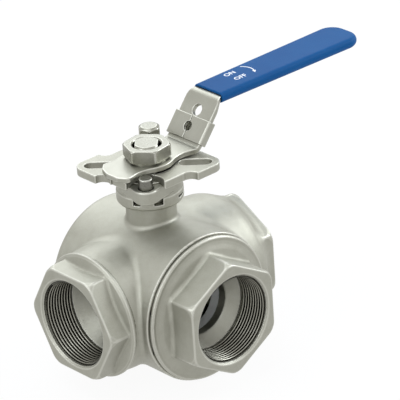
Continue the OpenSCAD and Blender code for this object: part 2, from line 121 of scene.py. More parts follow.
def skin(field, low, high, cell):
    cell *= coarser
    low = np.array(low, float)
    block = 8
    count = (np.ceil((np.array(high, float) - low) / (cell * block)).astype(int) + 1) * block
    blocks = count // block
    centres = [low[i] + cell * block * (np.arange(blocks[i]) + 0.5) for i in range(3)]
    bx, by, bz = np.meshgrid(*centres, indexing="ij")
    rough = field(bx.ravel(), by.ravel(), bz.ravel()).reshape(blocks)
    near = np.abs(rough) < cell * block * 0.87 * 1.45
    wide = near.repeat(block, 0).repeat(block, 1).repeat(block, 2)
    values = np.ones(count + 1)
    values[:-1, :-1, :-1] = np.where(rough < 0, -9.0, 9.0).repeat(block, 0).repeat(block, 1).repeat(block, 2)
    mask = np.zeros(count + 1, bool)
    for i in (0, 1):
        for j in (0, 1):
            for k in (0, 1):
                mask[i:count[0] + i, j:count[1] + j, k:count[2] + k] |= wide
    spots = np.argwhere(mask)
    for start in range(0, len(spots), 400000):
        part = spots[start:start + 400000]
        p = part * cell + low
        values[part[:, 0], part[:, 1], part[:, 2]] = field(p[:, 0], p[:, 1], p[:, 2])
    values[values == 0] = 1e-6
    inside = values < 0
    total = np.zeros(count, np.int8)
    for i in (0, 1):
        for j in (0, 1):
            for k in (0, 1):
                total += inside[i:count[0] + i, j:count[1] + j, k:count[2] + k]
    cells = np.argwhere((total > 0) & (total < 8))
    number = np.full(count, -1, np.int64)
    number[tuple(cells.T)] = np.arange(len(cells))
    places = np.zeros((len(cells), 3))
    hits = np.zeros(len(cells))
    for axis in range(3):
        one = np.eye(3, dtype=int)[axis]
        others = [a for a in range(3) if a != axis]
        for j in (0, 1):
            for k in (0, 1):
                near0 = cells.copy()
                near0[:, others[0]] += j
                near0[:, others[1]] += k
                far = near0 + one
                a, b = values[tuple(near0.T)], values[tuple(far.T)]
                cross = (a < 0) != (b < 0)
                t = a[cross] / (a[cross] - b[cross])
                places[cross] += near0[cross] + t[:, None] * one
                hits[cross] += 1
    places = places / hits[:, None] * cell + low
    for _ in range(3):
        depth, slope, _ = lean(field, places, 0.25 * cell)
        move = -slope * (depth / np.maximum((slope ** 2).sum(1), 0.25))[:, None]
        size = np.linalg.norm(move, axis=1)
        places += move * np.minimum(1, 0.45 * cell / np.maximum(size, 1e-9))[:, None]
    faces = []
    for axis in range(3):
        u, v = (axis + 1) % 3, (axis + 2) % 3
        one = np.eye(3, dtype=int)
        ends = [slice(None)] * 3
        starts = [slice(None)] * 3
        starts[axis], ends[axis] = slice(0, -1), slice(1, None)
        flips = np.argwhere(inside[tuple(starts)] != inside[tuple(ends)])
        flips = flips[(flips[:, u] > 0) & (flips[:, v] > 0) & (flips[:, u] < count[u]) & (flips[:, v] < count[v])]
        out = inside[tuple(flips.T)]
        ring = [flips - one[u] - one[v], flips - one[v], flips, flips - one[u]]
        quad = np.stack([number[tuple(r.T)] for r in ring], 1)
        quad[~out] = quad[~out][:, ::-1]
        faces.append(quad)
    faces = np.concatenate(faces)
    return places, faces[(faces >= 0).all(1)]


def lean(field, p, h):
    # value, slope and how sharply the surface bends, from points a step h away
    here = field(p[:, 0], p[:, 1], p[:, 2])
    slope = np.zeros_like(p)
    bend = -6 * here
    for axis in range(3):
        step = np.zeros(3)
        step[axis] = h
        ahead = field(*(p + step).T)
        back = field(*(p - step).T)
        slope[:, axis] = (ahead - back) / (2 * h)
        bend = bend + ahead + back
    return here, slope, bend / (h * h)


def solid(name, field, low, high, cell, body, slotName, material, *nodes, soften=0.3, wearAndShadeStep=0.7, whole=None):
    places, faces = skin(field, low, high, cell)
    whole = whole or field
    mesh = bpy.data.meshes.new(name)
    mesh.vertices.add(len(places))
    mesh.vertices.foreach_set("co", (places / 1000).astype(np.float32).ravel())
    mesh.loops.add(faces.size)
    mesh.loops.foreach_set("vertex_index", faces.astype(np.int32).ravel())
    mesh.polygons.add(len(faces))
    mesh.polygons.foreach_set("loop_start", np.arange(0, faces.size, 4, dtype=np.int32))
    mesh.update(calc_edges=True)
    mesh.shade_smooth()
    _, slope, _ = lean(whole, places, soften)
    slope /= np.maximum(np.linalg.norm(slope, axis=1), 1e-9)[:, None]
    mesh.normals_split_custom_set_from_vertices(slope.astype(np.float32))
    # bend of the surface: worn rims where it bulges, painted shade where it hollows
    _, _, bend = lean(whole, places, wearAndShadeStep)
    edge = mesh.attributes.new("edge", "FLOAT", "POINT")
    edge.data.foreach_set("value", np.clip(bend, -3, 3).astype(np.float32))
    piece = bpy.data.objects.new(name, mesh)
    return settle(piece, body, slotName, material, *nodes)


def settle(piece, body, slotName, material, *nodes):
    if not piece.users_collection:
        bpy.context.scene.collection.objects.link(piece)
    piece.data.materials.clear()
    piece.data.materials.append(material)
    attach(piece, body)
    if nodes:
        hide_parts(*nodes)
    print(piece.name, len(piece.data.polygons), "faces")
    return piece


# shader nodes as sums

class Wire:
    def __init__(self, tree, socket):
        self.tree, self.socket = tree, socket

    def node(self, kind, settings=None, inputs=None, out=0):
        made = self.tree.nodes.new(kind)
        for key, value in (settings or {}).items():
            setattr(made, key, value)
        for key, value in (inputs or {}).items():
            if isinstance(value, Wire):
                self.tree.links.new(value.socket, made.inputs[key])
            else:
                made.inputs[key].default_value = value
        return Wire(self.tree, made.outputs[out])

    def maths(self, operation, *others, clamp=False):
        values = {i: v for i, v in enumerate((self, *others))}
        return self.node("ShaderNodeMath", {"operation": operation, "use_clamp": clamp}, values)

    def __add__(self, other): return self.maths("ADD", other)
    def __sub__(self, other): return self.maths("SUBTRACT", other)
    def __mul__(self, other): return self.maths("MULTIPLY", other)
    def __truediv__(self, other): return self.maths("DIVIDE", other)
    def __radd__(self, other): return self.maths("ADD", other)
    def __rmul__(self, other): return self.maths("MULTIPLY", other)
    def __neg__(self): return self.maths("MULTIPLY", -1.0)
    def __rsub__(self, other): return self.maths("MULTIPLY_ADD", -1.0, other)
    def clamped(self): return self.maths("ADD", 0.0, clamp=True)

    def span(self, low, high, newLow=0.0, newHigh=1.0):
        return self.node("ShaderNodeMapRange", {"clamp": True}, {
            "Value": self, "From Min": low, "From Max": high, "To Min": newLow, "To Max": newHigh})


def paint(name, constants):
    material = bpy.data.materials.new(name)
    material.use_nodes = True
    tree = material.node_tree
    shader = next(n for n in tree.nodes if n.type == "BSDF_PRINCIPLED")
    for key, value in constants.items():
        shader.inputs[key].default_value = value
    return material, Wire(tree, None), shader


def feed(shader, key, wire):
    wire.tree.links.new(wire.socket, shader.inputs[key])


def noise(start, place, scale, detail=2.0, roughness=0.5):
    return start.node("ShaderNodeTexNoise", None, {
        "Vector": place, "Scale": scale, "Detail": detail, "Roughness": roughness})


def mix(start, factor, a, b, blend="MIX"):
    return start.node("ShaderNodeMix", {"data_type": "RGBA", "blend_type": blend}, {
        0: factor, 6: a, 7: b}, 2)


def metal(name, look):
    # look: dark and light metal, flecks, worn rims, painted shade in hollows; cloud and grain count per metre
    material, start, shader = paint(name, {"Metallic": 1.0, "IOR": 2.5})
    plain = start.node("ShaderNodeTexCoord", None, None, "Object")
    place = plain
    if "stretch" in look:
        place = start.node("ShaderNodeMapping", None, {"Vector": plain, "Scale": look["stretch"]})
    cloudy = noise(start, plain, look["cloud"], 3.0, 0.55).span(0.3, 0.7)
    patches = noise(start, plain, look["cloud"] * 4.3, 2.0, 0.6).span(0.25, 0.75)
    grain = noise(start, place, look["grain"], 2.0, 0.6)
    edge = start.node("ShaderNodeAttribute", {"attribute_name": "edge"}, None, "Fac")
    rim = edge.span(look["rimFrom"], look["rimTo"])
    hollowShade = edge.span(-0.25, -1.4)
    tone = mix(start, cloudy * 0.6 + patches * 0.4, (*look["dark"], 1), (*look["light"], 1))
    tone = mix(start, grain.span(0.3, 0.72) * look["fleck"], tone, (*look["speck"], 1))
    tone = mix(start, rim * look["rim"], tone, (*look["worn"], 1))
    # painted shade: hollows darken where the surface bends inward
    tone = mix(start, hollowShade * look["hollowShade"], tone, (*look["hollowShadeTone"], 1))
    feed(shader, "Base Color", tone)
    feed(shader, "Roughness", look["rough"] + (cloudy - 0.5) * look["vary"] + (grain - 0.5) * look["vary"] * 0.6
         - rim * 0.08)
    bump = start.node("ShaderNodeBump", None, {
        "Height": grain + patches * look.get("wave", 0.0), "Strength": look["bump"], "Distance": 0.0001})
    feed(shader, "Normal", bump)
    return material


castLook = {
    "dark": (0.3, 0.297, 0.247), "light": (0.39, 0.387, 0.335), "speck": (0.46, 0.456, 0.404),
    "worn": (0.6, 0.597, 0.54), "hollowShadeTone": (0.08, 0.078, 0.052), "cloud": 38.0, "grain": 1900.0,
    "fleck": 0.35, "rim": 0.5, "rimFrom": 0.18, "rimTo": 0.9, "hollowShade": 0.8, "rough": 0.54, "vary": 0.12,
    "bump": 0.35, "wave": 1.5}
castSteel = metal("castSteel", castLook)
plateSteel = metal("plateSteel", castLook | {
    "dark": (0.285, 0.283, 0.235), "light": (0.365, 0.363, 0.314), "grain": 2600.0, "cloud": 24.0,
    "rough": 0.38, "bump": 0.25})
# darker than bright steel really is: painted shade standing in for dark surroundings reflected in nut and bolt sides
brightSteel = metal("brightSteel", castLook | {
    "dark": (0.182, 0.18, 0.146), "light": (0.258, 0.255, 0.216), "worn": (0.53, 0.525, 0.47), "grain": 900.0,
    "stretch": (1, 1, 6), "rough": 0.3, "bump": 0.2, "cloud": 60.0})
# near-black hollow tone paints the shade deep in the thread roots
threadSteel = metal("threadSteel", castLook | {
    "dark": (0.25, 0.243, 0.2), "light": (0.33, 0.322, 0.27), "hollowShadeTone": (0.014, 0.013, 0.009), "hollowShade": 0.96, "rim": 0.3,
    "rough": 0.34, "cloud": 50.0})
# very dark tones are painted shade: the pin stands in the lever's shadow
pinSteel = metal("pinSteel", castLook | {
    "dark": (0.075, 0.074, 0.06), "light": (0.15, 0.147, 0.125), "rough": 0.34, "cloud": 120.0})
ballSteel = metal("ballSteel", castLook | {
    "dark": (0.065, 0.067, 0.045), "light": (0.1, 0.102, 0.072), "speck": (0.14, 0.14, 0.105), "grain": 700.0,
    "stretch": (1, 1, 14), "rough": 0.16, "vary": 0.05, "bump": 0.08, "wave": 0.0})
springSteel = metal("springSteel", castLook | {
    "dark": (0.16, 0.16, 0.15), "light": (0.24, 0.24, 0.23), "rough": 0.33})


def soft(name, look):
    material, start, shader = paint(name, look["fixed"])
    place = start.node("ShaderNodeTexCoord", None, None, "Object")
    fine = noise(start, place, look["grain"], 3.0, 0.6)
    wide = noise(start, place, look["cloud"], 2.0, 0.5).span(0.3, 0.7)
    edge = start.node("ShaderNodeAttribute", {"attribute_name": "edge"}, None, "Fac")
    tone = mix(start, wide, (*look["dark"], 1), (*look["light"], 1))
    tone = mix(start, edge.span(0.15, 0.9) * look["rub"], tone, (*look["rubbed"], 1))
    feed(shader, "Base Color", tone)
    feed(shader, "Roughness", look["rough"] + (fine - 0.5) * look["vary"])
    feed(shader, "Normal", start.node("ShaderNodeBump", None, {
        "Height": fine, "Strength": look["bump"], "Distance": 0.0001}))
    return material


gripVinyl = soft("gripVinyl", {
    "fixed": {"IOR": 1.45, "Specular IOR Level": 0.1, "Coat Weight": 0.0},
    "dark": (0.003, 0.066, 0.22), "light": (0.005, 0.082, 0.25), "rubbed": (0.015, 0.11, 0.31), "rub": 0.3,
    "grain": 2200.0, "cloud": 30.0, "rough": 0.5, "vary": 0.12, "bump": 0.3})
seatWhite = soft("seatWhite", {
    "fixed": {"IOR": 1.4, "Subsurface Weight": 0.2, "Subsurface Radius": (0.002, 0.002, 0.002)},
    "dark": (0.78, 0.78, 0.75), "light": (0.85, 0.85, 0.82), "rubbed": (0.8, 0.8, 0.78), "rub": 0.2,
    "grain": 900.0, "cloud": 80.0, "rough": 0.35, "vary": 0.1, "bump": 0.1})
sealBlack = soft("sealBlack", {
    "fixed": {"IOR": 1.5}, "dark": (0.018, 0.018, 0.018), "light": (0.03, 0.03, 0.03),
    "rubbed": (0.06, 0.06, 0.06), "rub": 0.3, "grain": 1500.0, "cloud": 80.0, "rough": 0.55,
    "vary": 0.1, "bump": 0.2})
printWhite = soft("printWhite", {
    "fixed": {"IOR": 1.5}, "dark": (0.78, 0.8, 0.83), "light": (0.86, 0.88, 0.9),
    "rubbed": (0.8, 0.82, 0.85), "rub": 0.1, "grain": 2500.0, "cloud": 300.0, "rough": 0.5,
    "vary": 0.15, "bump": 0.2})
print("materials ready")

# body

bodySizes = {
    "drumRadius": 51.8, "drumBack": 50.5, "drumFront": 48.8, "leftPipe": 43.5, "rightPipe": 48, "mouthRoom": 31.7,
    "hexFlats": 71.6, "hexStart": 55.0, "crown": 42.5, "neckRadius": 17.0, "hubRadius": 22.6, "hubTop": 84.5,
    "lugRadius": 8.3, "lugLow": 76, "padTop": 90.3, "padHalf": 36, "padWaist": 29.5, "stopRadius": 26.5,
    "pinRadius": 4.6, "ballRoom": 39.5, "flow": 20.0, "pocket": 28.6, "pocketFloor": 39.6, "stemBore": 9.58,
    "packing": 13.6, "spigot": 43.0}
windowSizes = {"low": 69.4, "high": 76.1, "depth": 18.6, "one": (4.3, 10.0), "two": (-9.7, -5.0)}

# outlines as (distance from the axis, place along it, corner radius)
room, drum, hub = bodySizes["mouthRoom"], bodySizes["drumRadius"], bodySizes["hubRadius"]
mouthEnd = [(28.4, 50.9, 0.6), (29.7, 51.0), (30.2, 74.1), (room, 75.6), (room, 82), (-20, 82)]
mouthLine = shape([(-20, 44.8), (20, 44.8, 0.4), (20.8, 45.6, 0.6), *mouthEnd])
leftMouthLine = shape([(-20, 41.6), (20, 41.6, 0.6), *mouthEnd])
drumLine = shape([(-30, -bodySizes["drumFront"]), (drum, -bodySizes["drumFront"], 0.6),
                  (drum, bodySizes["drumBack"], 6.2), (-30, bodySizes["drumBack"])])
pipe = bodySizes["leftPipe"]
leftLine = shape([(-30, 0), (pipe, 0), (pipe, 44, 40), (42.9, 51, 20), (42.2, 55.3), (41.6, 55.6), (42.8, 55.9, 0.4),
                  (43.7, 56.9, 0.7), (43.7, 58.6, 0.9), (42.3, 59.8, 1.5), (32, 63.4), (-30, 63.4)])
pipe = bodySizes["rightPipe"]
rightLine = shape([(-30, 0), (pipe, 0), (pipe, 38, 40), (46.5, 48, 30), (45.8, 54, 15), (44.5, 58, 10), (42.5, 62, 6),
                   (40.3, 64.5, 6), (35, 68, 3), (-30, 68)])
crownLine = shape([(-30, 50), (bodySizes["crown"], 50), (bodySizes["crown"], 66), (41.4, 71.5, 6), (39.3, 75.5, 1.4),
                   (-30, 75.5)])
neck = bodySizes["neckRadius"]
neckLine = shape([(-30, 40), (neck, 40), (neck, 64.2), (17.4, 64.6), (17.4, 65.4, 0.3), (21.6, 65.4, 0.8),
                  (hub, 67.0, 1.2), (hub, 73.4, 0.8), (21.9, 74.4, 0.8), (21.9, 86), (-30, 86)])
bore, packing = bodySizes["stemBore"], bodySizes["packing"]
stemHoles = shape([(-20, 30), (13.3, 30), (13.3, 46.5), (bore, 46.5), (bore, 58), (packing, 58), (packing, 82),
                   (17.45, 82, 0.4), (17.45, 96), (-20, 96)])


def mouth(x, y, z):
    around = np.hypot(y, z)
    return np.minimum(outline(mouthLine, around, x), outline(leftMouthLine, around, -x))


def padFlat(u, v):
    half = bodySizes["padHalf"]
    flat = np.maximum(np.abs(u), np.abs(v)) - bodySizes["padWaist"]
    for k in (1, -1):
        p, q = u * k, v * k
        # square ear with a rounded outer corner, toward +u and -v
        ear = np.maximum(between(p, 6.5, half), between(q, -half, -3))
        inset = half - 8.5
        corner = np.hypot(p - inset, q + inset) - 8.5
        ear = np.maximum(ear, np.where((p > inset) & (q < -inset), corner, -99))
        flat = np.minimum(flat, ear)
    for k in (1, -1):
        p, q = u * k, v * k
        flat = roundMeet(flat, 5.5 - np.hypot(p - 6.5, q + 35), 0.5)
        flat = roundMeet(flat, 5.5 - np.hypot(p - 35, q + 6.5), 0.5)
        flat = roundMeet(flat, 12.4 - np.hypot(p - 20.79, q - 20.79), 0.8)
        a, b = turned(p, q, -45)
        flat = np.maximum(flat, 4.5 - np.hypot(a - np.clip(a, 25, 38), b))
    return flat


def lugs(x, y, z):
    # each lug is the hub's circle drawn out to a smaller circle
    s = bodySizes
    big, small, away = s["hubRadius"] - 0.7, s["lugRadius"], s["stopRadius"]
    slope = (big - small) / away
    side = math.sqrt(1 - slope * slope)
    best = np.full(x.shape, 99.0)
    for angle in (45, 225):
        a, b = turned(x, y, angle)
        b = np.abs(b)
        k = side * a - slope * b
        plan = np.where(k < 0, np.hypot(a, b) - big, np.where(
            k > side * away, np.hypot(a - away, b) - small, side * b + slope * a - big))
        best = np.minimum(best, prism(plan, z, s["lugLow"], s["hubTop"] + 0.5, 0.9))
    return best


def windows(x, y, z):
    # two square windows under each lug and a shallow groove round part of the flange
    s = windowSizes
    best = np.full(x.shape, 99.0)
    out = np.hypot(x, y)
    for angle in (45, 225):
        a, b = turned(x, y, angle)
        beside = np.minimum(between(b, *s["one"]), between(b, *s["two"]))
        best = np.minimum(best, np.maximum(np.maximum(s["depth"] - out, -a),
                                           np.maximum(beside, between(z, s["low"], s["high"]))))
    a, b = turned(x, y, -42)
    groove = np.maximum(roundMeet(between(z, s["low"], 71.0), s["depth"] + 0.5 - out, 0.6), np.abs(b) - a * 0.62)
    return np.minimum(best, groove)


def bodyField(x, y, z):
    s = bodySizes
    around = np.hypot(y, z)
    left = outline(leftLine, around, -x)
    right = outline(rightLine, around, x)
    crown = outline(crownLine, around, np.abs(x))
    leftHex = roundMeet(hexagon(y, z, s["hexFlats"], 1.0, 90), crown, 1.1)
    leftHex = np.maximum(leftHex, s["hexStart"] + x)
    rightHex = roundMeet(hexagon(y, z, s["hexFlats"], 1.0, 0), crown, 1.1)
    rightHex = np.maximum(rightHex, s["hexStart"] - x)
    steel = outline(drumLine, np.hypot(x, z), y)
    steel = roundJoin(steel, left, 2.6)
    steel = roundJoin(steel, right, 4.0)
    steel = roundJoin(steel, leftHex, 1.6)
    steel = roundJoin(steel, rightHex, 4.5)
    neckPlain = np.maximum(np.hypot(x, y) - s["neckRadius"], 20 - z)
    steel = np.where(z > 61, np.minimum(steel, outline(neckLine, np.hypot(x, y), z)),
                      roundJoin(steel, neckPlain, 2.6))
    steel = np.minimum(steel, lugs(x, y, z))
    pad = prism(padFlat(x, y), z, s["hubTop"], s["padTop"], 0.5)
    steel = np.minimum(steel, pad)
    steel = roundMeet(steel, -windows(x, y, z), 0.3)
    # everything that is cut away inside
    empty = np.minimum(mouth(x, y, z), np.maximum(around - s["flow"], np.abs(x) - 46))
    empty = np.minimum(empty, np.sqrt(x * x + y * y + z * z) - s["ballRoom"])
    empty = np.minimum(empty, np.maximum(around - s["pocket"], np.abs(x) - s["pocketFloor"]))
    across = np.hypot(x, z)
    empty = np.minimum(empty, np.maximum(across - s["pocket"], between(y, 0, s["pocketFloor"])))
    empty = np.minimum(empty, np.maximum(across - s["ballRoom"], between(y, -33, 0)))
    empty = np.minimum(empty, np.maximum(across - s["spigot"], between(y, -60, -31.5)))
    empty = np.minimum(empty, outline(stemHoles, np.hypot(x, y), z))
    for angle in (45, 225):
        a, b = turned(x, y, angle)
        hole = np.maximum(np.hypot(a - s["stopRadius"], b) - s["pinRadius"] - 0.02, between(z, 75, 96))
        if angle == 225:
            wider = np.maximum(np.hypot(a - s["stopRadius"], b) - 5.1, between(z, 82, 96))
        else:
            wider = np.maximum(np.hypot(a - s["stopRadius"], b) - 8.2, between(z, 66, 76))
        empty = np.minimum(empty, np.minimum(hole, wider))
    return roundMeet(steel, -empty, 0.35)


def bodyPart(low, high, cell, name, *nodes):
    low, high = np.array(low, float), np.array(high, float)

    def part(x, y, z):
        cut = np.maximum(np.maximum(between(x, low[0], high[0]), between(y, low[1], high[1])),
                         between(z, low[2], high[2]))
        return np.maximum(bodyField(x, y, z), cut)
    return solid(name, part, low - 1.5, high + 1.5, cell, "valve_body", "cast_steel", castSteel, *nodes,
                 whole=bodyField)


bodyPart((-49.6, -52, -54), (49.6, 54, 63.6), 1.1, "castBody", "body")
bodyPart((-78, -50, -50), (-47.2, 52, 50), 0.62, "leftPortEnd")
bodyPart((47.2, -50, -50), (78, 52, 50), 0.62, "rightPortEnd")
bodyPart((-42, -42, 62.4), (42, 42, 92), 0.62, "hubAndPad")
print("body cut")

# end cap

capLine = shape([(-30, 33), (42.9, 33, 0.5), (42.9, 49.3), (49.6, 49.3), (50.4, 49.9, 0.4), (50.4, 51.5, 0.5),
                 (49.4, 52.5, 0.8), (47.5, 52.45, 2), (45.2, 53.1, 4), (42.2, 54.3, 5), (38, 55.4, 4),
                 (33, 55.6), (-30, 55.6)])
capCrown = shape([(-30, 50), (bodySizes["crown"], 50), (bodySizes["crown"], 67), (41.4, 72.5, 6), (39.3, 76.5, 1.4),
                  (-30, 76.5)])


def capField(x, y, z):
    around, along = np.hypot(x, z), -y
    collar = outline(capLine, around, along)
    crown = outline(capCrown, around, along)
    hexPart = np.maximum(roundMeet(hexagon(x, z, bodySizes["hexFlats"], 1.0, 0), crown, 1.1), 54 - along)
    steel = roundJoin(collar, hexPart, 2.4)
    empty = np.minimum(outline(mouthLine, around, along - 1), np.maximum(around - bodySizes["flow"], along - 50))
    empty = np.minimum(empty, np.maximum(around - bodySizes["pocket"], along - bodySizes["pocketFloor"]))
    return roundMeet(steel, -empty, 0.35)


solid("endCap", capField, (-52, -78.5, -52), (52, -31, 52), 0.78, "valve_body", "cast_steel", castSteel,
      "end_cap")
print("end cap cut")

# pipe threads: one ridge wound into each mouth

threadSizes = {"Pitch": 2.309, "Turns": 9.6, "Root": 29.7, "Depth": 1.4, "Begin": 51.5, "Steps": 110}


def threadTree():
    tree = bpy.data.node_groups.new("windThread", "GeometryNodeTree")
    face = tree.interface
    for key in threadSizes:
        kind = "NodeSocketInt" if key == "Steps" else "NodeSocketFloat"
        face.new_socket(key, in_out="INPUT", socket_type=kind)
    face.new_socket("Material", in_out="INPUT", socket_type="NodeSocketMaterial")
    face.new_socket("Geometry", in_out="OUTPUT", socket_type="NodeSocketGeometry")
    entry = tree.nodes.new("NodeGroupInput")
    leave = tree.nodes.new("NodeGroupOutput")
    start = Wire(tree, None)
    take = {key: Wire(tree, entry.outputs[key]) for key in (*threadSizes, "Material")}
    total = (take["Turns"] * take["Steps"]).maths("ROUND")
    sheet = start.node("GeometryNodeMeshGrid", None, {
        "Size X": total, "Size Y": 4.0, "Vertices X": total + 1, "Vertices Y": 5})
    spot = start.node("GeometryNodeInputPosition")
    apart = spot.node("ShaderNodeSeparateXYZ", None, {0: spot})
    u = apart / total + 0.5
    column = (Wire(tree, apart.socket.node.outputs[1]) + 2.0).maths("ROUND").maths("MODULO", 4.0)
    offset = column - 1.5
    size = offset.maths("ABSOLUTE")
    fade = ((0.5 - (u - 0.5).maths("ABSOLUTE")) * take["Turns"] * 3.0).clamped()
    along = take["Begin"] + u * take["Turns"] * take["Pitch"] + offset * size * 0.2 * take["Pitch"] * fade
    high = size.maths("LESS_THAN", 1.0)
    radius = take["Root"] + 0.35 + u * 0.5 - (take["Depth"] + 0.35) * high * fade
    angle = u * take["Turns"] * (2 * math.pi)
    spotNew = start.node("ShaderNodeCombineXYZ", None, {
        0: along, 1: radius * angle.maths("COSINE"), 2: radius * angle.maths("SINE")})
    moved = start.node("GeometryNodeSetPosition", None, {"Geometry": sheet, "Position": spotNew})
    joined = start.node("GeometryNodeMergeByDistance", None, {"Geometry": moved, "Distance": 0.01})
    real = start.node("GeometryNodeRealizeInstances", None, {"Geometry": joined})
    done = start.node("GeometryNodeSetMaterial", None, {"Geometry": real, "Material": take["Material"]})
    tree.links.new(done.socket, leave.inputs["Geometry"])
    return tree


windThread = threadTree()


def wound(name, place):
    bare = bpy.data.objects.new(name + "Bare", bpy.data.meshes.new(name + "Bare"))
    bpy.context.scene.collection.objects.link(bare)
    modifier = bare.modifiers.new("wind", "NODES")
    modifier.node_group = windThread
    for item in windThread.interface.items_tree:
        if item.item_type == "SOCKET" and item.in_out == "INPUT":
            modifier[item.identifier] = threadSteel if item.name == "Material" else threadSizes[item.name]
    bpy.context.view_layer.update()
    ready = bare.evaluated_get(bpy.context.evaluated_depsgraph_get())
    mesh = bpy.data.meshes.new_from_object(ready)
    bare.modifiers.remove(modifier)
    bpy.data.objects.remove(bare)
    mesh.transform(place @ Matrix.Scale(0.001, 4))
    work = bmesh.new()
    work.from_mesh(mesh)
    bmesh.ops.recalc_face_normals(work, faces=work.faces)
    for f in work.faces:
        f.smooth = True
    work.to_mesh(mesh)
    work.free()
    mesh.name = name
    # crest counts as a worn edge, root as a hollow that gets painted shade
    edge = mesh.attributes.new("edge", "FLOAT", "POINT")
    spots = np.zeros(len(mesh.vertices) * 3, np.float32)
    mesh.vertices.foreach_get("co", spots)
    local = (spots.reshape(-1, 3) * 1000) @ np.array(place.to_3x3())
    radius = np.hypot(local[:, 1], local[:, 2])
    edge.data.foreach_set("value", np.where(radius < 29.3, 0.9, -6.5).astype(np.float32))
    piece = bpy.data.objects.new(name, mesh)
    return settle(piece, "valve_body", "cast_steel", threadSteel)


wound("threadRight", Matrix.Identity(4))
wound("threadLeft", Matrix.Rotation(math.pi, 4, "Z"))
wound("threadBranch", Matrix.Translation((0, -0.001, 0)) @ Matrix.Rotation(-math.pi / 2, 4, "Z"))
print("threads wound")

# nuts, stem, bolt and pin

nutSizes = {  # bottom, top, across flats, hole, where the first flat looks
    "leverNut": (96.0, 105.2, 28.5, 9.55, 39.5), "glandNut": (83.6, 90.3, 28.5, 9.55, 30),
    "stopNut": (70.6, 76.0, 13.0, 4.6, 15)}


def nutField(name, x, y, z):
    low, high, flats, hole, start = nutSizes[name]
    big = flats / math.sqrt(3)
    around = np.hypot(x, y)
    line = shape([(-30, low), (big - 1.4, low), (big - 0.1, low + 0.8), (big - 0.1, high - 0.8), (big - 1.5, high),
                  (-30, high)])
    steel = roundMeet(hexagon(x, y, flats, 0.5, start), outline(line, around, z), 0.35)
    bore = outline(shape([(-20, low - 5), (hole + 1.0, low - 5), (hole + 1.0, low), (hole, low + 1), (hole, high - 1),
                          (hole + 1.0, high), (hole + 1.0, high + 5), (-20, high + 5)]), around, z)
    return roundMeet(steel, -bore, 0.25)


solid("leverNut", lambda x, y, z: nutField("leverNut", x, y, z), (-18, -18, 94.5),
      (18, 18, 106.5), 0.42, "handle", "bright_steel", brightSteel, "lever_nut", wearAndShadeStep=0.45)
solid("glandNut", lambda x, y, z: nutField("glandNut", x, y, z), (-18, -18, 82.5),
      (18, 18, 91.5), 0.5, "handle", "bright_steel", brightSteel, "gland_nut", wearAndShadeStep=0.45)

stemLine = shape([(-20, 40), (13, 40), (13, 45, 0.3), (9.5, 45), (9.5, 50.5), (7.3, 50.5), (7.3, 53.3), (9.5, 53.3),
                  (9.5, 104.7, 0.3), (8.4, 105.8, 0.3), (-20, 105.8)])


def stemField(x, y, z):
    steel = outline(stemLine, np.hypot(x, y), z)
    across = np.abs(turned(x, y, -45)[0])
    steel = np.where(z > 91.5, roundMeet(steel, across - 7.7, 0.3), steel)
    tang = np.maximum(np.maximum(np.abs(x) - 12, np.abs(y) - 4.5), between(z, 31.4, 41))
    return np.minimum(steel, tang)


solid("valveStem", stemField, (-14, -14, 30), (14, 14, 107.5), 0.5, "handle", "bright_steel", brightSteel, "stem",
      wearAndShadeStep=0.5)

stopAt = bodySizes["stopRadius"] * math.sqrt(0.5)
pin = bodySizes["pinRadius"]
pinLine = shape([(-9, 76), (pin, 76), (pin, 91.8, 0.2), (4.2, 92.2, 0.3), (-9, 92.2)])
boltLine = shape([(-12, 99.6), (7.7, 99.6, 0.4), (7.9, 100.1), (7.9, 103.9), (7.2, 104.8, 0.6), (5.4, 106, 1.2),
                  (-12, 106)])


def boltField(x, y, z):
    around = np.hypot(x, y)
    head = roundMeet(hexagon(x, y, 14, 0.5, 20), outline(boltLine, around, z), 0.3)
    shank = np.maximum(around - 4.55, between(z, 69.4, 100))
    return np.minimum(head, shank)


solid("stopPin", lambda x, y, z: outline(pinLine, np.hypot(x + stopAt, y + stopAt), z), (-25, -25, 75),
      (-13, -13, 95), 0.35, "valve_body", "bright_steel", pinSteel, "stop_pin", wearAndShadeStep=0.5)
solid("stopBolt", lambda x, y, z: boltField(x - stopAt, y - stopAt, z), (10, 10, 68.5), (27.8, 27.8, 107.3), 0.42,
      "valve_body", "bright_steel", brightSteel, "stop_bolt", wearAndShadeStep=0.45)
solid("stopNut", lambda x, y, z: nutField("stopNut", x - stopAt, y - stopAt, z), (10, 10, 69.5),
      (27.5, 27.5, 77.5), 0.42, "valve_body", "bright_steel", brightSteel, "stop_nut", wearAndShadeStep=0.45)
print("stem and fasteners cut")

# lever, sleeve and lock slide

leverSizes = {
    "thick": 3.5, "top": 95.0, "half": 15.3, "bend": 51.0, "bendX": 31.1, "rise": 28.0, "end": 185.2,
    "inner": 3.0, "wall": 2.0, "slideThick": 1.4, "slideGap": 0.25}
bendAngle = math.radians(leverSizes["bend"])
handleTop = leverSizes["top"] + leverSizes["rise"]
slopeRun = leverSizes["rise"] / math.tan(bendAngle)
outerRound = leverSizes["inner"] + leverSizes["thick"]
sleeveStart = leverSizes["bendX"] + slopeRun + outerRound * math.tan(bendAngle / 2)


def leverSide():
    s = leverSizes
    top, t = s["top"], s["thick"]
    shift = t * math.tan(bendAngle / 2)
    x1, x2 = s["bendX"], s["bendX"] + slopeRun
    return shape([(-60, top), (x1, top, s["inner"]), (x2, handleTop, outerRound), (s["end"] + 30, handleTop),
                  (s["end"] + 30, handleTop - t), (x2 + shift, handleTop - t, s["inner"]),
                  (x1 + shift, top - t, outerRound), (-60, top - t)])


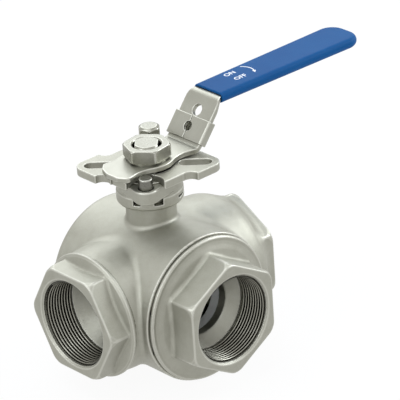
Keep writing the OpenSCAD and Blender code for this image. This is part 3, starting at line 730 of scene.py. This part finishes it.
leverSideLine = leverSide()
leverPlan = shape([(-34.5, -8.5, 2), (-30.4, -15.3, 3), (50.5, -15.3, 4), (58, -12.1, 4), (150, -13.5),
                   (185.2, -14.1, 10.2), (185.2, 14.1, 10.2), (150, 13.5), (58, 12.1, 4), (50.5, 15.3, 4),
                   (-25.5, 15.3, 3), (-31.5, 9.5, 3), (-34.5, 1.5, 4)])


def leverFlat(x, y):
    flat = roundJoin(outline(leverPlan, x, y), np.hypot(x, y + 1.2) - 17, 2.0)
    reach = stopAt - bodySizes["pinRadius"] - 0.3 + 12
    for px in (-stopAt, stopAt):
        for py in (-reach, reach):
            flat = roundMeet(flat, 12 - np.hypot(x - px, y - py), 3.0)
    return flat


def alongSlope(x, z):
    dx, dz = x - leverSizes["bendX"], z - leverSizes["top"]
    c, s = math.cos(bendAngle), math.sin(bendAngle)
    return dx * c + dz * s, dz * c - dx * s


def slideHole(run, y):
    return np.hypot(run - 11, y) - 3.4


def leverField(x, y, z):
    steel = roundMeet(leverFlat(x, y), outline(leverSideLine, x, z), 0.45)
    across = np.abs(turned(x, y, -45)[0])
    hole = np.maximum(np.maximum(np.hypot(x, y) - 9.55, across - 7.75), z - 105)
    run, lift = alongSlope(x, z)
    padlock = np.maximum(np.minimum(np.hypot(run - 23.5, y) - 4.0, slideHole(run, y)), np.abs(lift) - 12)
    return roundMeet(steel, -np.minimum(hole, padlock), 0.3)


solid("leverPlate", leverField, (-37, -20, 90), (187, 18, 125), 0.6, "handle", "cast_steel", plateSteel,
      "lever_plate", soften=0.35, wearAndShadeStep=0.55)

sleevePlan = shape([(sleeveStart - 40, -12.1), (58, -12.1), (150, -13.5), (185.2, -14.1, 10.2),
                    (185.2, 14.1, 10.2), (150, 13.5), (58, 12.1), (sleeveStart - 40, 12.1)])


def sleeveField(x, y, z):
    s = leverSizes
    flat = outline(sleevePlan, x, y)
    lift = np.abs(z - (handleTop - s["thick"] / 2))
    r = s["thick"] / 2 + s["wall"]
    outer = np.hypot(np.maximum(flat + r - s["wall"], 0), lift) - r
    outer = roundMeet(outer, sleeveStart - x, 0.35)
    gap = np.maximum(np.maximum(flat, lift - s["thick"] / 2) - 0.35, x - sleeveStart - 1.2)
    return roundMeet(outer, -gap, 0.15)


solid("gripSleeve", sleeveField, (sleeveStart - 1.5, -19, 116), (189, 19, 127), 0.55, "handle", "grip_blue",
      gripVinyl, "grip_sleeve", soften=0.5)


def slideField(x, y, z):
    s = leverSizes
    run, lift = alongSlope(x, z)
    gap, t = s["slideGap"], s["slideThick"]
    halfIn, low, high = s["half"] + gap, -s["thick"] - gap, gap
    q = np.maximum(np.abs(y) - halfIn, np.maximum(low - lift, lift - high))
    box = np.hypot(np.maximum(np.abs(y) - halfIn, 0), np.maximum(np.maximum(low - lift, lift - high), 0))
    wall = np.where(q > 0, box, q)
    sheet = np.maximum(wall - t, -wall)
    sheet = roundMeet(sheet, between(run, 2.3, 19.0), 0.4)
    cut = np.maximum(slideHole(run, y), between(lift, 0, 12))
    seam = np.maximum(np.abs(y) - 0.22, np.maximum(-lift, lift - 6))
    return roundMeet(sheet, -np.minimum(cut, seam), 0.3)


solid("lockSlide", slideField, (28, -19.5, 92), (48, 19.5, 115), 0.32, "lock", "cast_steel", plateSteel,
      "lock_slide", soften=0.3, wearAndShadeStep=0.5)
print("lever parts cut")

# printed words and arrow on the sleeve

printSizes = {"top": 0.125, "thick": 0.00005, "letter": 0.0058}


def word(name, text, x, y, size):
    curve = bpy.data.curves.new(name, "FONT")
    curve.body = text
    curve.size = size
    curve.extrude = printSizes["thick"]
    curve.offset = 0.0001
    curve.align_x = "CENTER"
    curve.align_y = "CENTER"
    holder = bpy.data.objects.new(name + "Text", curve)
    bpy.context.scene.collection.objects.link(holder)
    bpy.context.view_layer.update()
    mesh = bpy.data.meshes.new_from_object(holder.evaluated_get(bpy.context.evaluated_depsgraph_get()))
    bpy.data.objects.remove(holder)
    mesh.transform(Matrix.Translation((x, y, printSizes["top"])))
    return settle(bpy.data.objects.new(name, mesh), "handle", "grip_blue", printWhite)


word("wordOn", "ON", 0.0822, 0.0062, printSizes["letter"])
word("wordOff", "OFF", 0.0834, -0.0031, printSizes["letter"])


def turnArrow(name, cx, cy, radius, fromDegrees, toDegrees):
    # flat curved arrow, head at the far end
    work = bmesh.new()
    wide, headWide, headLong, steps = 0.0004, 0.0014, 0.0032, 20
    rows = []
    for k in range(steps + 1):
        a = math.radians(fromDegrees + (toDegrees - fromDegrees) * k / steps)
        rows.append([work.verts.new((cx + math.cos(a) * (radius + w), cy + math.sin(a) * (radius + w), 0))
                     for w in (-wide, wide)])
    for one, two in zip(rows, rows[1:]):
        work.faces.new((one[0], one[1], two[1], two[0]))
    a = math.radians(toDegrees)
    side = 1 if toDegrees > fromDegrees else -1
    tangent = Vector((-math.sin(a), math.cos(a), 0)) * side
    tip = Vector((cx + math.cos(a) * radius, cy + math.sin(a) * radius, 0)) + tangent * headLong
    wings = [Vector((cx + math.cos(a) * (radius + w), cy + math.sin(a) * (radius + w), 0))
             for w in (-headWide, headWide)]
    work.faces.new([work.verts.new(p) for p in (*wings, tip)])
    grown = bmesh.ops.extrude_face_region(work, geom=work.faces[:])
    for v in grown["geom"]:
        if isinstance(v, bmesh.types.BMVert):
            v.co.z += 2 * printSizes["thick"]
    bmesh.ops.recalc_face_normals(work, faces=work.faces)
    mesh = bpy.data.meshes.new(name)
    work.to_mesh(mesh)
    work.free()
    mesh.transform(Matrix.Translation((0, 0, printSizes["top"] - printSizes["thick"])))
    return settle(bpy.data.objects.new(name, mesh), "handle", "grip_blue", printWhite)


turnArrow("turnArrow", 0.0885, 0.0025, 0.0095, 48, -28)

# finishes for the CAD pieces that stay

finishes = {
    "ball": ballSteel, "cap_gasket": seatWhite, "seat_left": seatWhite, "seat_right": seatWhite,
    "seat_branch": seatWhite, "seat_back": seatWhite, "stem_seal": sealBlack, "thrust_washer": seatWhite,
    "packing_lower": seatWhite, "packing_middle": seatWhite, "packing_upper": seatWhite,
    "gland_ring": brightSteel, "disc_spring_lower": springSteel, "disc_spring_upper": springSteel,
    "tab_washer": brightSteel, "lever_washer": brightSteel}
for nodeName, finish in finishes.items():
    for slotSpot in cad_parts[nodeName].material_slots:
        slotSpot.material = finish
print("finishes set")

# floor, lights, camera

world = bpy.data.worlds.new("studio")
bpy.context.scene.world = world
world.use_nodes = True
worldTree = world.node_tree
worldShade = next(n for n in worldTree.nodes if n.type == "BACKGROUND")
worldStart = Wire(worldTree, None)
rays = worldStart.node("ShaderNodeLightPath")
seen = Wire(worldTree, rays.socket.node.outputs["Is Camera Ray"]).maths(
    "MAXIMUM", Wire(worldTree, rays.socket.node.outputs["Is Glossy Ray"])).maths(
    "MAXIMUM", Wire(worldTree, rays.socket.node.outputs["Is Transmission Ray"]))
worldShade.inputs["Strength"].default_value = 1.0
worldTree.links.new(mix(worldStart, seen, (0.38, 0.39, 0.41, 1), (1, 1, 1, 1)).socket, worldShade.inputs["Color"])

floorMaterial, floorStart, floorShade = paint("floorPale", {"Base Color": (0.93, 0.93, 0.93, 1), "Roughness": 0.9})
floorTree = floorMaterial.node_tree
floorRays = floorStart.node("ShaderNodeLightPath")
floorSeen = Wire(floorTree, floorRays.socket.node.outputs["Is Camera Ray"]).maths(
    "MAXIMUM", Wire(floorTree, floorRays.socket.node.outputs["Is Glossy Ray"])) * 0.93
floorGlow = floorStart.node("ShaderNodeEmission", None, {"Color": (1, 1, 1, 1), "Strength": 1.0})
blendShade = floorTree.nodes.new("ShaderNodeMixShader")
floorTree.links.new(floorSeen.socket, blendShade.inputs[0])
floorTree.links.new(floorShade.outputs[0], blendShade.inputs[1])
floorTree.links.new(floorGlow.socket, blendShade.inputs[2])
floorOut = next(n for n in floorTree.nodes if n.type == "OUTPUT_MATERIAL")
floorTree.links.new(blendShade.outputs[0], floorOut.inputs["Surface"])

floorMesh = bpy.data.meshes.new("floor")
floorWork = bmesh.new()
bmesh.ops.create_circle(floorWork, cap_ends=True, segments=64, radius=4.0)
floorWork.to_mesh(floorMesh)
floorWork.free()
floorMesh.materials.append(floorMaterial)
floorMesh.transform(Matrix.Translation((0, 0, -0.0521)))
floor = bpy.data.objects.new("floor", floorMesh)
bpy.context.scene.collection.objects.link(floor)


def lamp(name, place, target, size, watts):
    light = bpy.data.lights.new(name, "AREA")
    light.shape = "RECTANGLE"
    light.size, light.size_y = size
    light.energy = watts
    light.color = (0.9, 0.945, 1.0)  # a little cool
    holder = bpy.data.objects.new(name, light)
    holder.location = place
    holder.rotation_euler = (Vector(target) - Vector(place)).to_track_quat("-Z", "Y").to_euler()
    bpy.context.scene.collection.objects.link(holder)


lamp("backSoft", (0.8, 1.15, 1.25), (0, 0, 0.03), (1.9, 1.4), 18)
lamp("topSoft", (-0.3, 0.2, 1.8), (0, 0, 0.05), (1.4, 1.2), 9)
lamp("leftSoft", (-1.5, 0.0, 0.9), (0, 0, 0.03), (0.9, 0.9), 9)
lamp("rightSoft", (1.4, -0.6, 0.9), (0, 0, 0.03), (0.9, 0.9), 16)
lamp("frontSoft", (-0.8, -1.5, 0.9), (0, 0, 0.03), (1.0, 0.8), 3)

shot = {"turn": -0.7075, "rise": 0.4548, "roll": -0.06834, "away": 2.215, "right": 0.02890, "up": 0.05669,
        "focal": 3290.5}
back = Vector((math.sin(shot["turn"]) * math.cos(shot["rise"]), -math.cos(shot["turn"]) * math.cos(shot["rise"]),
               math.sin(shot["rise"])))
level = Vector((math.cos(shot["turn"]), math.sin(shot["turn"]), 0))
upright = back.cross(level)
rightWay = level * math.cos(shot["roll"]) + upright * math.sin(shot["roll"])
upWay = upright * math.cos(shot["roll"]) - level * math.sin(shot["roll"])
camera = bpy.data.cameras.new("camera")
camera.sensor_width = 36
camera.lens = 36 * shot["focal"] / 400
camera.clip_end = 20
cameraHolder = bpy.data.objects.new("camera", camera)
pose = Matrix((rightWay, upWay, back)).transposed().to_4x4()
pose.translation = back * shot["away"] + rightWay * shot["right"] + upWay * shot["up"]
cameraHolder.matrix_world = pose
bpy.context.scene.collection.objects.link(cameraHolder)
bpy.context.scene.camera = cameraHolder
bpy.context.scene.view_settings.view_transform = "Standard"

print("scene ready")
